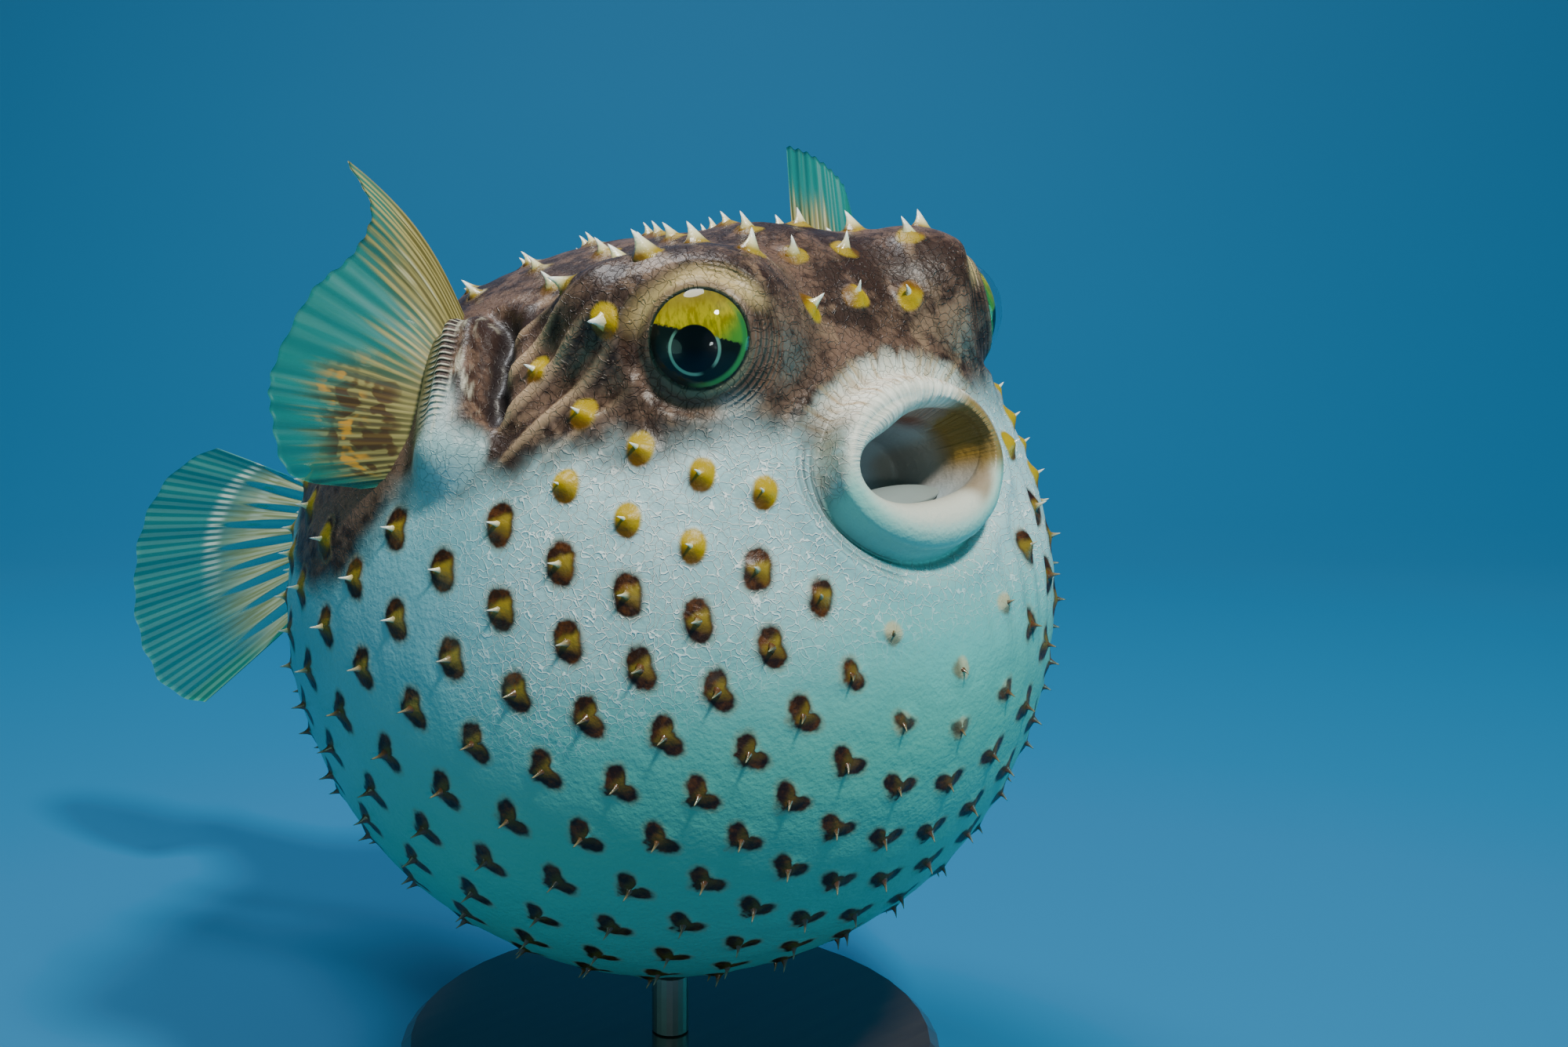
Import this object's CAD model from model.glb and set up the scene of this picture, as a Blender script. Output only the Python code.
"""How the inflated spotbase burrfish looks: skin, spines, eyes, fins and stand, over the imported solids.

The fish is shaped in its own frame: +X is its left, +Y runs to the tail, +Z is up, the origin is the middle
of the ball and one unit is the ball's radius, BALL. MM is one millimetre in that unit.
"""

import math

import bpy
import numpy as np
from mathutils import Matrix, Vector
from numpy.linalg import norm


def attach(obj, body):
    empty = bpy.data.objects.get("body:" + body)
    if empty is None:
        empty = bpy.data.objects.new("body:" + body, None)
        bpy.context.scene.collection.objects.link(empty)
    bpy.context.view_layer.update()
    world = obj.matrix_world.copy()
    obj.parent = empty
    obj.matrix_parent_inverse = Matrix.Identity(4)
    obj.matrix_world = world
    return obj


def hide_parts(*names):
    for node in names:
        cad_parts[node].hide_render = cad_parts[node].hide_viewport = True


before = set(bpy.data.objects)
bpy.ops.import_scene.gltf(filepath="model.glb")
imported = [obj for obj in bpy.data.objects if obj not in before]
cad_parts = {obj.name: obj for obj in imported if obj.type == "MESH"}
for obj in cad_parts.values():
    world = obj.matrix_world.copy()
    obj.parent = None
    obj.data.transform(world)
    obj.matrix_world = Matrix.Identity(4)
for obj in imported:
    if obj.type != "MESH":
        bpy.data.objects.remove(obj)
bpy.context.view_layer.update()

# The form of the solids, as they were modelled
BALL = 0.088
MM = 0.001 / BALL
PITCH = math.radians(14.3)
BALL_HEIGHT = 0.012 + 0.022 + BALL
ROD_MEETS = np.array((0.0, math.sin(PITCH), -math.cos(PITCH)))
EYE = np.array((0.49, -0.79, 0.605))
EYE_AXIS = np.array((0.775, -0.63, 0.05)) / math.hypot(0.775, 0.63, 0.05)
EYE_RADIUS = 0.17
EYE_BULGE = 0.031
SOCKET_RADIUS = 0.205
SOCKET_DEPTH = 0.203
MOUTH = np.array((0.0, -0.93, 0.257))
MOUTH_TILT = math.radians(5)
MOUTH_UP = np.array((0.0, math.sin(MOUTH_TILT), math.cos(MOUTH_TILT)))
MOUTH_OUT = np.array((0.0, -math.cos(MOUTH_TILT), math.sin(MOUTH_TILT)))
LIP_HALF_WIDTH, LIP_HALF_HEIGHT = 0.250, 0.158
LIP_AT_SIDES, LIP_AT_TOP, LIP_AT_BOTTOM = 0.035, 0.041, 0.062
LIP_SAG, LIP_SAG_TURN = 0.026, -0.62
LIP_THIN, LIP_THIN_TURN = 0.024, 1.15
THROAT_DEPTH = 0.26
THROAT_HALF_WIDTH, THROAT_HALF_HEIGHT = 0.228, 0.132
TAIL_END = np.array((0.0, 1.58, 0.30))
FARTHEST, NEAREST = 2.2, 0.4
PECTORAL_TOP = np.array((-0.60, -0.10, 0.76))
PECTORAL_LOW = np.array((-0.855, -0.30, 0.41))
PECTORAL_FOOT = np.array(((0.675, -0.19, 0.70), (0.85, -0.30, 0.45)))
PECTORAL_FOOT_RADII = (0.060, 0.075)
FOOT_REARWARD = np.array((0.39, 0.91, -0.13))

# The spines' rings, and the thorns' own rings from foot to tip
RING_STEP = math.radians(8.32)
IN_WIDEST_RING, LEFT_OUT = 45, 5
FIRST_RING, LAST_RING = 2, 20
MOST_IN_RING = 30
TAIL_ROOM = math.radians(21)
SPINE_LEAN = math.radians(32)
THORN_RINGS = np.array((-0.16, 0.02, 0.16, 0.32, 0.50, 0.68, 0.85))
THORN_SIDES = 9
THORN_PATCH = 0.003

# The fins: edges of the pectoral fins from the top, and how the first rays of the right one bow
RIGHT_PECTORAL_EDGE = (
    (-0.79, -0.02, 1.18), (-0.78, -0.07, 1.05), (-0.83, -0.03, 0.955), (-0.93, 0.02, 0.88),
    (-1.03, 0.08, 0.72), (-1.05, 0.09, 0.61), (-1.04, 0.07, 0.47), (-0.93, -0.04, 0.41),
)
LEFT_PECTORAL_EDGE = (
    (0.763, 0.039, 1.186), (0.745, -0.055, 1.145), (0.763, -0.108, 1.09), (0.795, -0.125, 1.03),
    (0.827, -0.09, 0.965), (0.93, 0.0, 0.86), (1.02, 0.06, 0.68), (0.95, -0.03, 0.46),
)
BLADE_BOW = (0.030, -0.028, 0.030)

# The tail fin: how it is swept and droops, and the lengths of its rays from the top
TAIL_SWEEP = math.radians(24)
TAIL_DROOP = math.radians(9)
CAUDAL_LENGTHS = (0.50, 0.66, 0.76, 0.82, 0.85, 0.87, 0.86, 0.82, 0.70)

# How each kind of fin is built: ray_height and membrane are in mm, pleat and bow in units, edge is a share
PECTORAL_LOOK = dict(rays=18, steps=36, ray_height=0.55, membrane=0.45, pleat=0.0012, bow=0.012, edge=0.015)
CAUDAL_LOOK = dict(rays=9, steps=36, ray_height=1.1, membrane=0.45, pleat=0.003, bow=0.010, edge=0.02)
BACK_LOOK = dict(rays=9, steps=20, ray_height=0.9, membrane=0.45, pleat=0.002, bow=0.004, edge=0.03)

# Soft ridges of the brow, each from one point to another on the right side
BROW_FOLDS = np.array((
    ((-0.30, -0.72, 0.86), (-0.20, -0.85, 0.72)), ((-0.20, -0.85, 0.72), (-0.24, -0.90, 0.56)),
))

# How the skin meets the eyes, and what stands clear of it there and in the mouth
EYE_OPENING = 0.107
LID_RISE = 0.012
LID_FADES = (0.125, 0.180)
CORNEA_RADIUS = 0.140
CORNEA_BULGE = 0.047
TONGUE_RADII = np.array((0.161, 0.0945, 0.030))
TONGUE_PLACE = MOUTH + (0, 0.12, -0.074)

# How finely the skin is meshed, and at which rows its lips, their front and the body begin
COLUMNS = 340
LIP_ROWS = 26
WALL_ROWS = 14
BACK_ROWS = 6
LIPS_AT = BACK_ROWS + WALL_ROWS
FRONT_AT = LIPS_AT + LIP_ROWS // 2
BODY_AT = LIPS_AT + LIP_ROWS

# Camera, looking past the middle of the ball, and the paper that is floor and backdrop
CAMERA_AZIMUTH = math.radians(43)
CAMERA_HEIGHT = math.radians(14.3)
CAMERA_DISTANCE = 5.5 * BALL
CAMERA_LENS = 47.7
CAMERA_SHIFT = (0.0725, 0.04625)
FLOOR_LIGHT, FLOOR_DARK = (0.0, 0.140, 0.310), (0.0, 0.125, 0.280)
FLOOR_FRONT, FLOOR_TOP, FLOOR_HALF_WIDTH = -1.6, 2.2, 2.4
FLOOR_BEND, FLOOR_BEND_RADIUS, FLOOR_BEND_STEPS = 0.55, 0.5, 12
WORLD_COLOUR, WORLD_STRENGTH = (0.14, 0.52, 0.56, 1), 0.34


# ---------------- small mathematics

def unit(vector):
    vector = np.asarray(vector, float)
    return vector / norm(vector, axis=-1, keepdims=True)


def smooth(low, high, value):
    """0 at low, 1 at high and an even curve between; low may be above high."""
    share = np.clip((value - low) / (high - low), 0, 1)
    return share * share * (3 - 2 * share)


def bell(value, middle, width):
    return np.exp(-(((value - middle) / width) ** 2))


def blend(a, b, width):
    """The smooth union of two distance fields."""
    share = np.clip(0.5 + 0.5 * (b - a) / width, 0, 1)
    return b + (a - b) * share - width * share * (1 - share)


def ellipsoid(points, centre, radii):
    scaled = (points - np.asarray(centre)) / np.asarray(radii)
    reach = norm(scaled, axis=-1)
    slope = norm(scaled / np.asarray(radii), axis=-1)
    return reach * (reach - 1) / np.maximum(slope, 1e-9)


def taper(points, start, end, start_radius, end_radius, squash=(1, 1, 1)):
    """A rod with round ends, from one radius to another, flattened along the axes by squash."""
    offset = (points - np.asarray(start)) * squash
    line = (np.asarray(end) - np.asarray(start)) * squash
    share = np.clip(offset @ line / (line @ line), 0, 1)
    radius = start_radius + (end_radius - start_radius) * share
    return norm(offset - share[..., None] * line, axis=-1) - radius


def swell(points, centre, reach):
    """1 at the centre, fading to nothing over a few times reach."""
    return np.exp(-np.sum((points - np.asarray(centre)) ** 2, axis=-1) / reach ** 2)


def swells(points, places):
    """The sum of several swells, each given by its middle, reach and height."""
    return sum(height * swell(points, middle, reach) for middle, reach, height in places)


def distance_to_line(points, start, end):
    return taper(points, start, end, 0, 0)


def on_side(points, side):
    """The points with those of the other side mirrored to this one: -1 is the fish's right, 1 its left."""
    mirrored = points.copy()
    mirrored[..., 0] = side * np.abs(points[..., 0])
    return mirrored


def ripple(points, scale, seed):
    """A soft, uneven field between about -1 and 1, made of waves in many directions."""
    directions = np.random.default_rng(seed).normal(size=(9, 3))
    directions = unit(directions) * scale * np.linspace(0.6, 1.7, 9)[:, None]
    phases = np.linspace(0, 40, 9)
    return np.sin(points @ directions.T + phases).sum(axis=-1) / 4


def through(stops, t):
    """A smooth curve through evenly spaced stops, at each t from 0 to 1."""
    stops = np.asarray(stops, float)
    padded = np.concatenate((2 * stops[:1] - stops[1:2], stops, 2 * stops[-1:] - stops[-2:-1]))
    place = np.clip(np.asarray(t, float), 0, 1) * (len(stops) - 1)
    index = np.minimum(place.astype(int), len(stops) - 2)
    share = (place - index)[..., None]
    before, here, after, beyond = (padded[index + step] for step in range(4))
    return 0.5 * (
        2 * here + (after - before) * share
        + (2 * before - 5 * here + 4 * after - beyond) * share ** 2
        + (3 * here - before - 3 * after + beyond) * share ** 3
    )


# ---------------- the form of the flesh

# Where the ball is flatter, on the back and round the mouth: middle, reach and depth
FLATTER = (((0, 0.05, 1.0), 0.60, 0.055), ((0, 0.72, 0.68), 0.50, 0.06), ((0, -0.98, 0.30), 0.36, 0.13))

# What is blended into the ball, on the left side: head, forehead, brow, eye socket, muzzle, tail and the
# pectoral fin's foot, each with the width of its blend
FLESH_FORMS = (
    (0.14, ellipsoid, (0, -0.42, 0.33), (0.60, 0.49, 0.50)),
    (0.10, taper, (0, -0.52, 0.60), (0.36, -0.52, 0.60), 0.27, 0.21),
    (0.15, taper, (0.36, -0.76, 0.68), (0.52, -0.56, 0.70), 0.08, 0.10),
    (0.11, ellipsoid, EYE - SOCKET_DEPTH * EYE_AXIS, (SOCKET_RADIUS,) * 3),
    (0.08, taper, (0, -0.52, 0.27), (0, -0.69, 0.235), 0.36, 0.265, (1, 1, 1.25)),
    (0.22, taper, (0, 0.72, 0.26), TAIL_END, 0.40, 0.12, (1.5, 1, 1)),
    (0.08, taper, *PECTORAL_FOOT, *PECTORAL_FOOT_RADII),
)


def flesh_field(points):
    """How far points lie outside the flesh, the same form as the solids'."""
    p = on_side(points, 1)
    field = ellipsoid(p, (0, 0, 0), (1.0, 1.0, 0.99)) + swells(p, FLATTER)
    for width, form, *measures in FLESH_FORMS:
        field = blend(field, form(p, *measures), width)
    return field


def mouth_place(points):
    """Points in the mouth's own frame: sideways, up and out of the mouth."""
    offset = points - MOUTH
    return offset[..., 0], offset @ MOUTH_UP, offset @ MOUTH_OUT


def mouth_ring(turns, half_width, half_height):
    """Steps from the mouth's middle to a ring in its plane, at each turn counted from the top."""
    across, up = half_width * np.sin(turns), half_height * np.cos(turns)
    return across[:, None] * (1, 0, 0) + up[:, None] * MOUTH_UP


def lip_radius(turn):
    """How thick the lip is at turn round the mouth, counted from the top."""
    far_part = np.where(np.cos(turn) > 0, LIP_AT_TOP, LIP_AT_BOTTOM)
    return LIP_AT_SIDES + (far_part - LIP_AT_SIDES) * np.cos(turn) ** 2


def round_mouth(points):
    """The turn round the mouth, and how far points lie outside the lips' middle line, in its plane.

    Points well behind the throat count as far outside.
    """
    across, up, out = mouth_place(points)
    turn = np.arctan2(across / LIP_HALF_WIDTH, up / LIP_HALF_HEIGHT)
    ring = np.hypot(LIP_HALF_WIDTH * np.sin(turn), LIP_HALF_HEIGHT * np.cos(turn))
    return turn, np.hypot(across, up) - ring + 2 * smooth(2, 3, -out / THROAT_DEPTH)


def skin_field(points):
    """How far points lie outside flesh and lips together."""
    _across, _up, out = mouth_place(points)
    turn, outside = round_mouth(points)
    return blend(flesh_field(points), np.hypot(outside, out) - lip_radius(turn), 0.022)


def slope_of(field, points, step=0.003):
    """The unit outward direction of field at points, and how steep it is there."""
    slopes = np.stack([
        (field(points + step * axis) - field(points - step * axis)) / (2 * step) for axis in np.eye(3)
    ], axis=-1)
    steepness = norm(slopes, axis=-1)
    return slopes / steepness[..., None], steepness


def settle(points, field, rounds=5):
    """Moves points along field's slope until they lie on its surface."""
    for _ in range(rounds):
        outward, steepness = slope_of(field, points)
        points = points - outward * (field(points) / steepness)[..., None]
    return points


def skin_reach(directions):
    """How far the flesh reaches from the ball's middle along each unit direction."""
    stops = np.linspace(FARTHEST, NEAREST, 46)
    inner = np.zeros(len(directions))
    outer = np.full(len(directions), FARTHEST)
    unmet = np.ones(len(directions), bool)
    for distance in stops[1:]:
        met = unmet.copy()
        met[unmet] = flesh_field(directions[unmet] * distance) < 0
        inner[met] = distance
        outer[unmet & ~met] = distance
        unmet &= ~met
    for _ in range(12):
        middle = (inner + outer) / 2
        inside = flesh_field(directions * middle[:, None]) < 0
        inner = np.where(inside, middle, inner)
        outer = np.where(inside, outer, middle)
    return inner


# ---------------- where the spines stand

# Places and lines without spines, on the right side, and how far off the spines keep: mouth, eye and the
# rod's cup; the pectoral fin's root, the slit before it and the skin under the fin
BARE_PLACES = ((MOUTH, 0.38), (EYE * (-1, 1, 1), 0.21), (ROD_MEETS, 0.19))
BARE_LINES = (
    (PECTORAL_TOP, PECTORAL_LOW, 0.13),
    (PECTORAL_TOP + (0, -0.17, 0), PECTORAL_LOW + (0.05, -0.10, 0.06), 0.07),
    (PECTORAL_LOW, PECTORAL_LOW + (-0.10, 0.40, 0.05), 0.10),
)
TAIL_BARE_FROM = 1.35
BACK_FINS_FROM, BACK_FINS_HALF_WIDTH = 0.90, 0.09


def bears_spine(points):
    """Whether the skin at each point has room for a spine."""
    p = on_side(points, -1)
    room = (p[:, 1] < TAIL_BARE_FROM) & ((p[:, 0] < -BACK_FINS_HALF_WIDTH) | (p[:, 1] < BACK_FINS_FROM))
    for place, off in BARE_PLACES:
        room &= norm(p - place, axis=1) > off
    for start, end, off in BARE_LINES:
        room &= distance_to_line(p, start, end) > off
    return room


def ring_directions():
    """Unit directions of the spines' sites, staggered from ring to ring and the same on both sides."""
    directions = []
    for ring in range(FIRST_RING, LAST_RING + 1):
        polar = ring * RING_STEP
        across = math.sin(polar)
        count = min(MOST_IN_RING, 2 * round((IN_WIDEST_RING * across - LEFT_OUT) / 2))
        shift = 0.5 * ((count // 2 + ring + 1) % 2)
        turns = math.tau * (np.arange(count) + shift) / count
        directions.append(np.stack((
            across * np.sin(turns), np.full(count, math.cos(polar)), across * np.cos(turns),
        ), axis=1))
    return np.concatenate(directions)


def spine_sites():
    """Each spine's root on the skin with its outward, tailward and sideways directions."""
    directions = ring_directions()
    directions = directions[directions @ unit(TAIL_END) < math.cos(TAIL_ROOM)]
    points = directions * skin_reach(directions)[:, None]
    points = points[bears_spine(points)]
    outward, _steepness = slope_of(flesh_field, points)
    tailward = unit((0, 1, 0) - outward * outward[:, 1:2])
    return points, outward, tailward, np.cross(outward, tailward)


def downward_sides(spines):
    """Each spine's sideways direction, turned to run down the fish's side."""
    roots, _outward, _tailward, sideways = spines
    return sideways * np.where(roots[:, :1] > 0, -1, 1)


def on_brow(points):
    """How close each point is to the brows, where the stoutest spines stand."""
    return swell(on_side(points, 1), (0.42, -0.62, 0.84), 0.30)


def spine_length(points):
    """Longest on the brow, shortest under the chin."""
    on_top = np.maximum(0, points[:, 2])
    return 0.041 + 0.004 * on_top + 0.026 * on_brow(points) - 0.013 * swell(points, (0, -0.95, -0.30), 0.60)


def spine_styles(sites):
    """For each spine how golden its base is, how dark its spot and how lobed that spot, from 0 to 1."""
    side, along, high = on_side(sites, 1).T
    under_brown = high - 0.14 - 0.57 * np.maximum(0, along + 0.76)
    cheek = smooth(-0.03, 0.05, under_brown) * smooth(-0.05, -0.25, along)
    on_chin = smooth(0.22, 0.80, swell(sites, (0, -0.98, -0.10), 0.40))
    behind_fins = swell(on_side(sites, 1), (0.92, 0.15, 0.31), 0.26)
    golden = 0.95 * cheek * (1 - 0.6 * smooth(0.62, 0.78, high))
    golden = golden + 0.4 * smooth(0.1, 0.5, along) * smooth(0.1, 0.4, high) + 0.4 * behind_fins
    dark = (1 - 0.93 * cheek) * (1 - 0.88 * on_chin) * (1 - 0.8 * smooth(0.55, 0.75, high))
    lobed = smooth(0.10, -0.50, high) + 0.7 * (1 - smooth(0.35, -0.45, along)) * smooth(0.6, 0.9, side)
    return np.stack((np.clip(golden, 0, 1), dark, np.clip(lobed, 0, 1)), axis=1)


# ---------------- frame and meshes

def to_world(points):
    """Points of the fish's frame, stood on its rod, nose up."""
    turn = Matrix.Rotation(-PITCH, 4, "X")
    matrix = np.array(Matrix.Translation((0, 0, BALL_HEIGHT)) @ turn @ Matrix.Scale(BALL, 4))
    return points @ matrix[:3, :3].T + matrix[:3, 3]


def add_object(name, data):
    obj = bpy.data.objects.new(name, data)
    bpy.context.scene.collection.objects.link(obj)
    return obj


def add_mesh(name, world_points, faces):
    """A smooth mesh object."""
    mesh = bpy.data.meshes.new(name)
    mesh.from_pydata(world_points.tolist(), [], faces)
    mesh.polygons.foreach_set("use_smooth", np.ones(len(mesh.polygons), bool))
    mesh.update()
    return add_object(name, mesh)


def store(obj, name, values):
    """Keeps three numbers for each vertex, for the material to read."""
    layer = obj.data.attributes.new(name, "FLOAT_VECTOR", "POINT")
    layer.data.foreach_set("vector", np.asarray(values, np.float32).ravel())


def set_uv(obj, corner_uv):
    layer = obj.data.uv_layers.new(name="OFBake")
    layer.data.foreach_set("uv", np.asarray(corner_uv, np.float32).ravel())


def set_vertex_uv(obj, uv):
    """Unwraps a mesh by one place for each vertex."""
    index = np.zeros(len(obj.data.loops), np.int32)
    obj.data.loops.foreach_get("vertex_index", index)
    set_uv(obj, uv[index])


def grid_faces(rows, columns, closed=True):
    """Quads of a grid whose vertices run along each row in turn."""
    steps = columns if closed else columns - 1
    row, column = np.meshgrid(np.arange(rows - 1), np.arange(steps), indexing="ij")
    beside = (column + 1) % columns
    here, after = row * columns, (row + 1) * columns
    quads = np.stack((here + column, here + beside, after + beside, after + column), axis=-1)
    return quads.reshape(-1, 4)


def fan_faces(first, columns, tip, flip=False):
    """Triangles from the vertex tip to a ring of vertices that starts at first."""
    here = first + np.arange(columns)
    beside = np.roll(here, -1)
    pair = (beside, here) if flip else (here, beside)
    return np.stack((np.full(columns, tip), *pair), axis=1).tolist()


# ---------------- the skin's form

def column_turns():
    """Turns round the fish, from the top, closer together on the back than on the belly."""
    even = np.linspace(-math.pi, math.pi, COLUMNS, endpoint=False)
    return even - 0.2 * np.sin(even)


def throat_rows(turns):
    """Rows from the throat's end forward to just behind the lips."""
    shares = np.linspace(0.06, 0.94, BACK_ROWS)
    depths = np.linspace(0.93 * THROAT_DEPTH, 0.05, WALL_ROWS)
    rows = [(share * 0.8, -THROAT_DEPTH * (1 - 0.06 * share ** 2)) for share in shares]
    rows += [(0.9 - 0.1 * depth / THROAT_DEPTH, -depth) for depth in depths]
    ring = mouth_ring(turns, THROAT_HALF_WIDTH, THROAT_HALF_HEIGHT)
    return [MOUTH + scale * ring + out * MOUTH_OUT for scale, out in rows]


def lip_rows(turns):
    """Rows over the lips, from their inner side round the front to the outside."""
    outward = mouth_ring(turns, 1, 1)
    middle = MOUTH + mouth_ring(turns, LIP_HALF_WIDTH, LIP_HALF_HEIGHT)
    sag = LIP_SAG * bell(turns, LIP_SAG_TURN, 0.55) - LIP_THIN * bell(turns, LIP_THIN_TURN, 0.75)
    rows = []
    for roll in np.radians(np.linspace(212, 15, LIP_ROWS)):
        radius = lip_radius(turns) + sag * max(0, -math.cos(roll))
        rows.append(middle + radius[:, None] * (math.cos(roll) * outward + math.sin(roll) * MOUTH_OUT))
    return rows


def body_angles():
    """Angles from the mouth to the tail: closer over the face and the tail's root."""
    return np.radians(np.concatenate((
        np.arange(16, 90, 0.55), np.arange(90, 155, 1.05), np.arange(155, 179.6, 0.5),
    )))


def even_directions(angle, turns):
    """Directions at one angle from the mouth, round a line that rises to the mouth and the tail."""
    mouth_lift, tail_lift = MOUTH[2] / -MOUTH[1], TAIL_END[2] / TAIL_END[1]
    lift = tail_lift + (mouth_lift - tail_lift) * (1 + math.cos(angle)) / 2
    across = math.sin(angle)
    return unit(np.stack((
        across * np.sin(turns), np.full_like(turns, -math.cos(angle)), across * np.cos(turns) + lift,
    ), axis=1))


def body_rows(turns):
    """Rows from the lips' outer side over the body to the tail's end."""
    edge = lip_radius(turns) + 0.012
    start = unit(MOUTH + mouth_ring(turns, LIP_HALF_WIDTH + edge, LIP_HALF_HEIGHT + edge))
    angles = body_angles()
    shift = start - even_directions(angles[0], turns)
    shares = 1 - smooth(angles[0], math.radians(60), angles)
    directions = np.concatenate([
        unit(even_directions(angle, turns) + share * shift) for angle, share in zip(angles, shares)
    ])
    points = directions * skin_reach(directions)[:, None]
    return settle(points, skin_field).reshape(len(angles), COLUMNS, 3)


def with_lids(points):
    """Brings the skin to the eyeballs' edge with a soft rim, and takes it behind them inside."""
    for side in (-1, 1):
        axis = EYE_AXIS * (side, 1, 1)
        offset = points - EYE * (side, 1, 1)
        height = offset @ axis
        away = norm(offset - height[:, None] * axis, axis=1)
        near = (away < 0.20) & (height > -0.16) & (height < 0.12)
        ball = EYE_BULGE - EYE_RADIUS + np.sqrt(np.maximum(EYE_RADIUS ** 2 - away ** 2, 0))
        lid = ball + LID_RISE * np.tanh((away - EYE_OPENING) / 0.014) + 0.5 * np.minimum(0, away - 0.085)
        lift = (1 - smooth(*LID_FADES, away)) * (lid - height)
        points = points + np.where(near, lift, 0)[:, None] * axis
    return points


def fin_foot(points):
    """Each point's place by the nearer pectoral fin's foot: along it, towards its rear and off its middle."""
    p = on_side(points, 1)
    start, end = PECTORAL_FOOT
    line = end - start
    share = np.clip((p - start) @ line / (line @ line), 0, 1)
    offset = p - start - share[:, None] * line
    return (p - start) @ unit(line), offset @ FOOT_REARWARD, norm(offset, axis=1)


def gill_slit(points):
    """How close each point is to the slit that runs down the front of the pectoral fin's foot."""
    along, rearward, off = fin_foot(points)
    ahead = smooth(-0.02, -0.06, rearward) * smooth(-0.14, -0.02, along) * smooth(0.33, 0.22, along)
    return bell(off, 0.118, 0.024) * ahead


def lip_folds(beside_lips, turn):
    """The collar round the lips, the crease at their foot and the pouch at their corners."""
    beside, turn = beside_lips, np.abs(turn)
    collar = bell(beside, 0.075, 0.030) * (0.45 + 0.55 * np.sin(turn))
    crease = bell(beside, 0.012, 0.014) * (0.15 + 0.85 * smooth(1.3, 2.1, turn))
    pouch = bell(beside, -0.024, 0.010) * smooth(0.6, 1.2, turn) * smooth(2.6, 2.0, turn)
    return 0.016 * collar - 0.020 * crease - 0.009 * pouch


def fold_heights(points):
    """How far folds and creases lift the skin at each point, and how much of that is pale-topped folds."""
    p = on_side(points, -1)
    turn, outside = round_mouth(points)
    beside_lips = outside - lip_radius(turn)
    along_foot, rearward, off_foot = fin_foot(points)
    waver = ripple(points, 9, 3)

    along_gill = (p[:, 1] + p[:, 2]) / math.sqrt(2)
    crest = (0.5 + 0.5 * np.cos(math.tau * along_gill / 0.080 + 1.1 * waver)) ** 2.6
    gill_folds = crest * swell(p, (-0.69, -0.43, 0.57), 0.23)
    gill_folds = gill_folds * smooth(0.16, 0.30, outside) * smooth(0.09, 0.15, off_foot)
    brow_folds = sum(bell(distance_to_line(p, start, end), 0, 0.022) for start, end in BROW_FOLDS)
    upright = np.sin(math.tau * points[:, 0] / 0.085 + 1.2 * waver)
    throat_folds = upright * swell(points, (0.40, -0.86, 0.00), 0.24)
    foot_folds = np.sin(math.tau * (rearward + 0.02 * waver) / 0.062)
    foot_folds = foot_folds * smooth(0.11, 0.09, off_foot) * smooth(0.30, 0.18, along_foot)
    uneven = 0.0035 * ripple(points, 7, 5) + 0.0012 * ripple(points, 34, 8)

    height = (
        0.026 * gill_folds + 0.010 * brow_folds + 0.0065 * throat_folds + 0.006 * foot_folds
        - 0.050 * gill_slit(points) + lip_folds(beside_lips, turn) + uneven * smooth(0.04, 0.2, beside_lips)
    )
    return height, gill_folds + 0.4 * np.maximum(0, throat_folds) + 0.7 * brow_folds


def nearest_places(points, places):
    """For each point the index of the nearest place."""
    nearest = np.zeros(len(points), int)
    half_squares = (places ** 2).sum(axis=1) / 2
    for start in range(0, len(points), 8000):
        part = points[start:start + 8000]
        nearest[start:start + 8000] = (part @ places.T - half_squares).argmax(axis=1)
    return nearest


def spine_relief(local, style, high):
    """The mound each spine stands on: a rounded boss on the face, a low ridge towards the tip elsewhere."""
    across, back, away = local.T
    boss = np.exp(-(across / 2.7) ** 2 - (back / 3.0) ** 2)
    ridge = np.exp(-(across / 1.5) ** 2 - ((back - 0.8) / 2.6) ** 2)
    dimple = bell(away, 5.0, 1.8)
    return MM * (0.9 * style[:, 0] * boss + (0.75 + 0.3 * high) * ridge - 0.12 * dimple)


def by_nearest_spine(points, spines):
    """Each point's place by its nearest spine, in mm down, tailward and away, and that spine's style."""
    roots, _outward, tailward, _sideways = spines
    nearest = nearest_places(points, roots)
    offset = (points - roots[nearest]) / MM
    local = np.stack((
        (offset * downward_sides(spines)[nearest]).sum(axis=1), (offset * tailward[nearest]).sum(axis=1),
        norm(offset, axis=1),
    ), axis=1)
    return local, spine_styles(roots)[nearest]


# Where the brown reaches lower, on the right side: under the eye, above the mouth, behind the cheek and
# under the pectoral fin, each with its reach and depth
BROWN_DIPS = (
    ((-0.58, -0.68, 0.46), 0.15, 0.07), ((-0.15, -0.98, 0.42), 0.21, 0.15),
    ((-0.76, -0.43, 0.44), 0.17, 0.07), ((-0.92, 0.15, 0.31), 0.24, 0.31),
)


def zone_values(points):
    """How far points are above the line between white and brown, how low they are and how wrinkled."""
    p = on_side(points, -1)
    line = 0.44 - swells(p, BROWN_DIPS) - 0.16 * smooth(0.7, 1.35, p[:, 1])
    low_side = smooth(0.08, -0.55, p[:, 2] + 0.12 * p[:, 1])
    netted = smooth(-0.22, -0.60, p[:, 1]) * smooth(-0.30, 0.02, p[:, 2] + 0.25 * p[:, 1] + 0.15)
    netted = np.maximum(netted, 0.7 * swell(p, PECTORAL_LOW + (0, -0.02, 0.02), 0.16))
    return np.stack(((p[:, 2] - line) / 0.10, low_side, netted), axis=1)


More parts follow.
